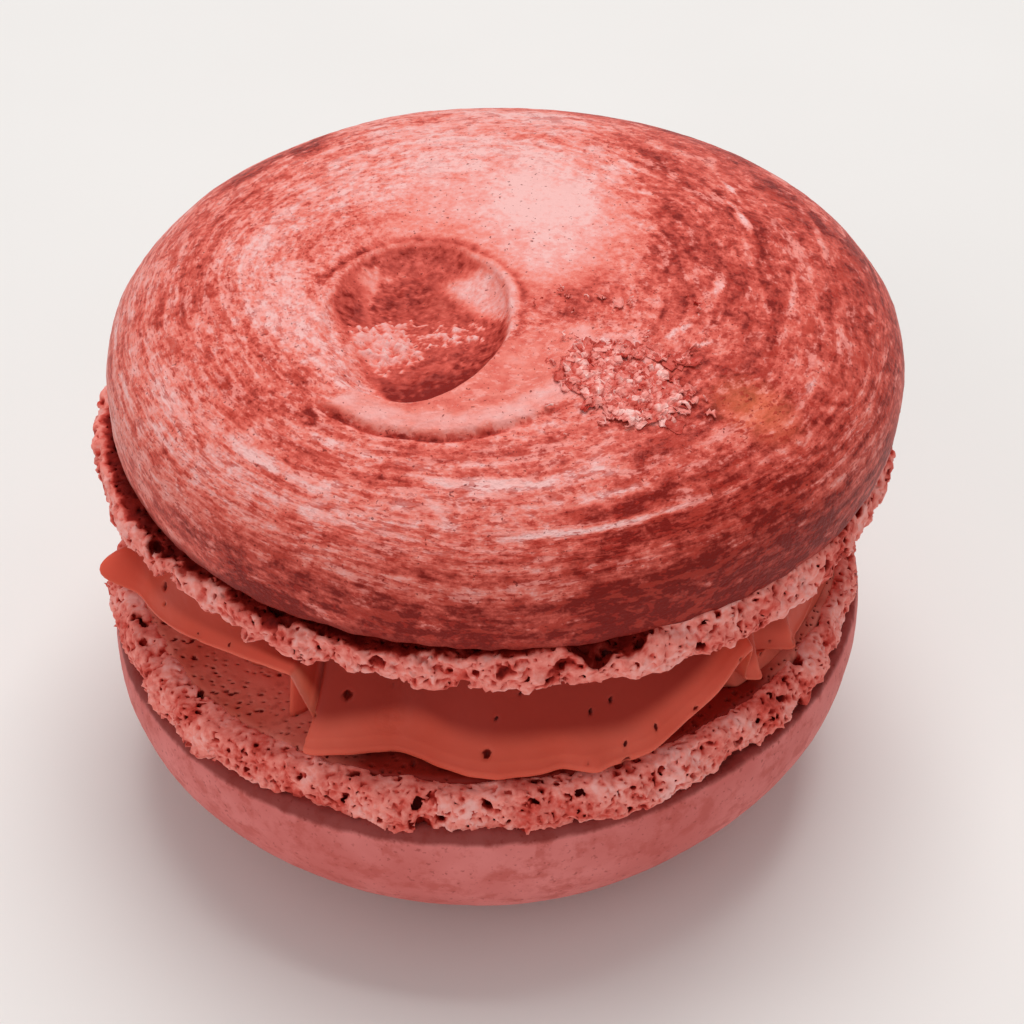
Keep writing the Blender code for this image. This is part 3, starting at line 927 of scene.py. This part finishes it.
run_in = blot(x, y, (-9.2, -9.6), (2.3, 2.7), 0.2)
open_side = side(x - BOWL[0], y - BOWL[1], 212.0, 62.0)
inside = 1 - (bowl + open_side * 0.16).rise(0.93 - open_side * 0.25, 1.0)
inside = inside * (z - UPPER_EQUATOR).rise(2.0, 4.0) * (1 - run_in)
torn_x = x + (crumb - 0.5) * 1.6 + (crumbs - 0.5) * 1.6
torn_y = y + (streaks - 0.5) * 1.6 + (grain - 0.5) * 1.2
pale_slip = (frayed_x + frayed_y + 6.7).rise(-0.6, 0.9) * torn_x.rise(-4.8, -2.4) * inside
pale_slip = pale_slip * (1 - (frayed_y - frayed_x * 0.25).rise(-3.0, -1.7))
floor_red = 0.74 + (crumb - 0.5) * 0.9 + (crumbs - 0.5) * 0.7 + (grain - 0.5) * 0.5
for centre, half, amount in (
    ((-7.5, -5.0), (0.9, 1.7), 0.45),
    ((-6.0, -4.5), (1.0, 2.4), 0.45),
    ((-4.7, -3.5), (1.6, 1.3), 0.35),
    ((-8.7, -5.6), (0.8, 1.8), 0.22),
    ((-9.2, -6.6), (0.5, 1.2), 0.3),
    ((-6.6, -2.8), (1.5, 0.9), -0.5),
    ((-6.9, -4.6), (0.5, 1.6), -0.3),
    ((-1.4, -8.2), (1.8, 1.6), 0.12),
):
    floor_red = floor_red + blot(torn_x, torn_y, centre, half, 0.1) * amount
# Painted shade: the floor is darkened near the bowl's front rim.
floor_red = floor_red + bowl.peak(0.9, 0.35) * side(x - BOWL[0], y - BOWL[1], -70.0, 120.0) * 0.40
floor_red = floor_red.math("MINIMUM", 0.84 + (crumbs - 0.5) * 1.4 + (grain - 0.5) * 0.8)
floor_red = floor_red + blot(x, y, (-3.0, -10.8), (4.4, 1.9), 0.3) * 0.20
floor_red = floor_red - pale_slip * 0.60 + rim.rise(0.74, 0.9) * (1 - pale_slip) * 0.06
pale_crust = ((crumbs - 0.5) * 5 + crust * 1.4 - 0.65).rise(0.0, 0.5) * crust.rise(0.0, 0.25)
crust_red = 0.15 - floor_red + (grain - 0.5) * 0.9 - (crumbs - 0.55) * 1.6
floor_red = floor_red + pale_crust * crust_red
# Painted highlight: a pale band inside the rim on its right side.
rim_highlight = (1 - rim.rise(0.96, 1.0)) * bowl.rise(0.92, 1.0) * side(x - RIM[0], y - RIM[1], -12.0, 75.0)
tail_red = 0.46 - tail.peak(0.90, 0.14) * 0.30 + (streaks - 0.5) * 0.7 + (crumb - 0.5) * 0.5
# The lip colour holds the painted shadow under the tail, the painted highlight inside the rim, and
# a red stroke.
lip_red = shadow_under_tail * 0.36 - rim_highlight * 0.22
lip_red = lip_red + dash(frayed_x, frayed_y, (-9.2, -12.8), 105.0, 2.2, 0.8) * 0.4
for name, value in (
    ("patches", patches),
    ("in_hollow", inside),
    ("floor_red", floor_red),
    ("on_tail", on_tail),
    ("tail_red", tail_red),
    ("lip_red", lip_red),
    ("rim_line", rim_line),
):
    geometry = board.marked(geometry, name, value)

on_crown = z.rise(UPPER_EQUATOR + 2.0, UPPER_EQUATOR + 4.0)
steep = side(x - BOWL[0], y - BOWL[1], -50.0, 120.0)
scooped = 1 - bowl.math("MINIMUM", 1.0).math("POWER", 2.8 + steep * 5.0)
crumpled = (board.noise(in_mm, 1.1, 3.0, 0.65) - 0.5) * (1 - bowl.rise(0.5, 0.9)) * 0.9
banked = (1 - rim.rise(0.8, 1.0)) * (1 - scooped) * side(x - RIM[0], y - RIM[1], 20.0, 110.0)
tail_fall = 1 - (tail - 0.7).math("MAXIMUM", 0.0)
filled = blot(x, y, (-9.2, -9.6), (2.8, 3.0), 0.1)
scooped = scooped * (1 - filled * 0.6)
crusted = (crumbs - 0.42).math("MAXIMUM", -0.15) * crust * 1.3
sculpt = crumpled * 0.7 + crusted - scooped * BOWL_DEPTH - rim_line * 0.12 - banked * 0.28
sculpt = sculpt + on_tail * TAIL_HEIGHT * tail_fall * (1 - x.rise(-1.0, 4.0)) - shadow_under_tail * 0.12
ridge = drawn(lane, 5, 1.0, 3.0, 0.6) - 0.5
ridge = ridge * ridges * 2 * radius.rise(4, 10)
creases = (board.noise(in_mm, 1.8, 3.0) - 0.5) * wrinkles * 2
swell = (board.noise(in_mm, 0.14, 1.0) - 0.5) * 0.25
swell = swell + side(x, y, 130.0, 60.0) * radius.rise(12.0, 18.0) * 0.3
low_edge = 1 - z.rise(UPPER_SKIN_EDGE, UPPER_SKIN_EDGE + 0.9)
ragged = (board.noise(in_mm, 0.9, 3.0, 0.65) - 0.5) * low_edge * 0.7
tilt = x * UPPER_SLOPE[0] + y * UPPER_SLOPE[1]
crown_tree, crown_board = tree, board
crown_shape = push(board, geometry, ridge + creases + swell, tilt + sculpt * on_crown + ragged)

skin_finish, board, shader = finish_board("upper_skin_finish", 0.46)
place = board.place()
in_mm, x, y, z, radius = place_in_mm(board, UPPER_CENTRE, place)
lane, ring, drawn = swirl_lane(board, in_mm, x, y, z, radius)
bands = drawn(lane, 4, 0.55, 2.0, 0.6)
rings = drawn(lane, 1.5, 1.25, 2.0, 0.55)
fine_rings = drawn(lane, 1.4, 3.1, 2.0, 0.6)
streaks = drawn(lane, 6, 1.3, 4.0, 0.62)
flecks = drawn(lane, 9, 2.4, 3.0, 0.6)
clouds = board.noise(in_mm, 0.30, 3.0, 0.6)
crumb = board.noise(in_mm, 1.6, 3.0, 0.65)
grain = board.noise(in_mm, 4.0, 2.0, 0.6)

turning = radius.rise(4.0, 9.0)
redness = 0.40 + turning * ((bands - 0.5) * 0.55 + (streaks - 0.5) * 0.8 + (flecks - 0.5) * 1.0)
redness = redness + turning * ((rings - 0.5) * 0.75 + (fine_rings - 0.5) * 0.5)
redness = redness + (clouds - 0.5) * 0.6 + (crumb - 0.5) * 0.65 + (grain - 0.5) * 0.45
redness = redness + board.mark("patches")
arcs = radius * 0.0
for degrees, spread, at, wide, amount in (
    (-84.0, 26.0, 17.2, 0.42, 0.85),
    (-72.0, 24.0, 18.2, 0.3, 0.6),
    (-76.0, 22.0, 19.4, 0.45, 0.85),
    (-108.0, 28.0, 16.4, 0.45, 0.5),
    (-118.0, 28.0, 18.4, 0.6, 0.45),
    (-43.0, 12.0, 18.7, 0.35, 0.9),
    (-96.0, 26.0, 23.2, 0.45, 0.55),
    (12.0, 12.0, 12.8, 0.3, 0.7),
    (-12.0, 10.0, 15.0, 0.3, 0.6),
    (14.0, 14.0, 16.8, 0.35, 0.55),
):
    arcs = arcs + side(x, y, degrees, spread) * ring.peak(at, wide) * amount
redness = redness - arcs * bands.rise(0.35, 0.62)

marks = ("in_hollow", "floor_red", "on_tail", "tail_red", "lip_red", "rim_line")
inside, floor_red, on_tail, tail_red, lip_red, rim_line = [board.mark(name) for name in marks]
redness = redness + inside * (floor_red - redness)
redness = redness + on_tail * (tail_red - redness) + lip_red
# The rim line adds painted shade.
redness = redness.math("MAXIMUM", 0.0) + rim_line * 0.45
stops = [
    (0.0, (0.86, 0.48, 0.46, 1)),
    (0.18, (0.84, 0.35, 0.32, 1)),
    (0.40, (0.81, 0.215, 0.170, 1)),
    (0.60, (0.69, 0.115, 0.085, 1)),
    (0.80, (0.46, 0.056, 0.040, 1)),
    (1.0, (0.22, 0.012, 0.008, 1)),
]
colour = board.ramp(redness, stops)
combed = drawn(lane, 7, 1.9, 3.0, 0.62)
torn_streaks = drawn(lane, 5, 1.6, 3.0, 0.62)
outside = 1 - inside
amount = combed.rise(0.55, 0.60) * turning * outside * (1 - on_tail)
amount = amount * (0.2 + ring.rise(9.0, 16.0) * 0.42)
colour = board.blend(amount, colour, (0.50, 0.050, 0.032, 1))
amount = torn_streaks.rise(0.55, 0.63) * turning * outside * (1 - redness.rise(0.6, 0.85)) * 0.5
colour = board.blend(amount, colour, (0.90, 0.36, 0.32, 1))
amount = blot(x, y, (12.0, -12.0), (3.0, 2.2), 0.1) * 0.5
colour = board.blend(amount, colour, (0.80, 0.18, 0.080, 1))
dots = board.noise(in_mm, 4.6, 2.0, 0.5)
colour = board.blend(dots.rise(0.675, 0.715) * 0.75, colour, (0.16, 0.010, 0.008, 1))
fibres = drawn(lane * 1.5, 15, 2.6, 2.0, 0.6)
amount = fibres.rise(0.585, 0.625) * turning * outside * (1 - on_tail * 0.7)
amount = amount * (0.25 + redness.rise(0.1, 0.6) * 0.45)
colour = board.blend(amount, colour, (0.40, 0.028, 0.018, 1))
threads = drawn(lane * 1.3, 8, 3.1, 2.0, 0.6)
threads = threads.rise(0.60, 0.65) * turning * outside * (1 - redness.rise(0.45, 0.65))
colour = board.blend(threads * 0.4, colour, (0.92, 0.42, 0.385, 1))
# Painted shade: the skin is darkened along its lowest edge, in the crack where it meets the foot.
shade_at_skin_edge = 1 - (z + (crumb - 0.5) * 1.2).rise(UPPER_SKIN_EDGE + 0.1, UPPER_SKIN_EDGE + 0.9)
colour = board.blend(shade_at_skin_edge * 0.8, colour, (0.20, 0.012, 0.008, 1))
bumpy = flecks * turning * 0.5 + grain * 0.6 + fibres * 0.4
connect(board, shader, Base_Color=colour, Normal=relief(board, bumpy, 0.16, 0.7))

sizes = {"ridges": 0.07, "wrinkles": 0.03}
grow(upper_skin, crown_tree, crown_board, crown_shape, sizes, skin_finish)
put_on(upper_skin, "upper_shell")

# ------------------------------------------------------------
# The flakes.
# A pinch of copper-pink sugar leaf, dropped on the crown before it set: one thin torn sheet,
# crumpled on the skin, with small loose flakes bent each its own way on it and beside it.

SHEET_PATCHES = (((5.9, -12.3), (3.4, 2.1)), ((4.2, -11.2), (1.9, 1.5)))
FLAKE_PATCHES = (
    ((5.9, -12.3), (3.3, 1.9), 0.35),
    ((7.2, -12.8), (1.9, 1.2), 0.6),
    ((4.2, -11.2), (1.7, 1.3), 0.3),
    ((5.4, -9.7), (2.6, 0.35), 1.0),
    ((8.1, -10.0), (1.1, 0.3), 1.0),
    ((5.5, -6.2), (0.7, 0.7), 0.5),
)
LEAF_THICKNESS = 0.06

flakes = empty_piece("sugar_leaf")
patch = bmesh.new()
patch.from_mesh(upper_skin.data)
far = []
for face in patch.faces:
    middle = face.calc_center_median() / MM
    east = middle.x - UPPER_CENTRE.x
    north = middle.y - UPPER_CENTRE.y
    if not (1.5 < east < 10.0 and -15.0 < north < -5.0 and face.normal.z > 0.5):
        far.append(face)
bmesh.ops.delete(patch, geom=far, context="FACES")
patch.to_mesh(flakes.data)
patch.free()


def jumbled(board, vector, scale, detail, reach):
    """A random shove for each place, over a reach in metres."""
    shove = board.noise(vector, scale, detail, output="Color")
    return board.scaled(board.added(shove, (-0.5, -0.5, -0.5)), reach)


def random_between(board, kind, low, high, seed):
    """A random vector or number for each flake, by the sockets that its kind of value sits in."""
    at = 0 if kind == "FLOAT_VECTOR" else 2
    sockets = {at: low, at + 1: high, "Seed": seed}
    return board.node("FunctionNodeRandomValue", {"data_type": kind}, sockets, at // 2)


def joined(board, first, second):
    """Two meshes as one."""
    both = board.node("GeometryNodeJoinGeometry", {}, {0: first})
    board.tree.links.new(second.socket, both.socket.node.inputs[0])
    return both


flake_finish, board, shader = finish_board("flake_finish", 0.38)
place = board.place()
shade = board.mark("shade")
grain = board.noise(place, 3000.0, 3.0, 0.6)
stops = [
    (0.0, (0.50, 0.045, 0.032, 1)),
    (0.35, (0.70, 0.14, 0.11, 1)),
    (0.7, (0.86, 0.33, 0.29, 1)),
    (1.0, (0.96, 0.60, 0.56, 1)),
]
colour = board.ramp(shade + (grain - 0.5) * 0.9, stops)
connect(board, shader, Base_Color=colour, Normal=relief(board, grain, 0.05, 0.6))

tree, board, (geometry, closeness, size) = growth("scattered_leaf", closeness=20.0, size=0.5)
in_mm, x, y, z, radius = place_in_mm(board, UPPER_CENTRE)
chance = radius * 0.0
for centre, half, amount in FLAKE_PATCHES:
    chance = chance.math("MAXIMUM", blot(x, y, centre, half, 0.75) * amount)
ragged_edge = board.noise(in_mm, 1.0, 2.0, 0.6).rise(0.40, 0.50)
sockets = {"Mesh": geometry, "Density": chance * ragged_edge * closeness * 1e6, "Seed": 4}
settings = {"distribute_method": "RANDOM"}
spots = board.node("GeometryNodeDistributePointsOnFaces", settings, sockets)
turn = spots.also("Rotation")
sockets = {"Size X": MM, "Size Y": MM, "Vertices X": 6, "Vertices Y": 6}
sheet = board.node("GeometryNodeMeshGrid", {}, sockets)
crumple = jumbled(board, board.node("GeometryNodeInputPosition"), 1800.0, 2.0, 0.8 * MM)
sheet = board.node("GeometryNodeSetPosition", {}, {"Geometry": sheet, "Offset": crumple})
lift = board.scaled(spots.also("Normal"), 0.1 * MM)
spots = board.node("GeometryNodeSetPosition", {}, {"Geometry": spots, "Offset": lift})
sockets = {"Points": spots, "Instance": sheet, "Rotation": turn}
placed = board.node("GeometryNodeInstanceOnPoints", {}, sockets)
tip = random_between(board, "FLOAT_VECTOR", (-0.25, -0.25, 0.0), (0.25, 0.25, 6.28), 11)
placed = board.node("GeometryNodeRotateInstances", {}, {"Instances": placed, "Rotation": tip})
spread = random_between(board, "FLOAT_VECTOR", (0.35, 0.25, 0.5), (1.1, 0.8, 1.2), 12)
sockets = {"Instances": placed, "Scale": board.scaled(spread, size)}
placed = board.node("GeometryNodeScaleInstances", {}, sockets)
shade = random_between(board, "FLOAT", 0.1, 0.85, 13)
placed = board.marked(placed, "shade", shade, "INSTANCE")
placed = board.node("GeometryNodeRealizeInstances", {}, {0: placed})

covered = radius * 0.0
for centre, half in SHEET_PATCHES:
    covered = covered.math("MAXIMUM", blot(x, y, centre, half, 0.3))
folds = board.noise(in_mm, 1.9, 4.0, 0.65)
torn_away = covered * 1.4 - 0.38 + (board.noise(in_mm, 1.2, 4.0, 0.65) - 0.5) * 2.6
leaf = board.node("GeometryNodeSubdivideMesh", {}, {0: geometry, 1: 1})
sockets = {0: leaf, 1: torn_away.math("LESS_THAN", 0.0)}
leaf = board.node("GeometryNodeDeleteGeometry", {"domain": "FACE"}, sockets)
leaf = board.marked(leaf, "shade", (folds - 0.5) * 3.2 + 0.46)
drift = jumbled(board, in_mm, 1.7, 3.0, 0.7 * MM)
leaf = board.node("GeometryNodeSetPosition", {}, {"Geometry": leaf, "Offset": drift})
leaf = push(board, leaf, (folds - 0.5) * 1.1 + 0.15, x * 0.0)
placed = joined(board, placed, leaf)
sockets = {"Mesh": placed, "Offset Scale": LEAF_THICKNESS * MM, "Individual": False}
thick = board.node("GeometryNodeExtrudeMesh", {"mode": "FACES"}, sockets)
placed = joined(board, board.node("GeometryNodeFlipFaces", {}, {0: placed}), thick)
placed = board.node("GeometryNodeMergeByDistance", {}, {"Geometry": placed, "Distance": 1e-6})
grow(flakes, tree, board, placed, {"closeness": 20.0, "size": 1.0}, flake_finish)
flakes.data.shade_flat()
put_on(flakes, "upper_shell")
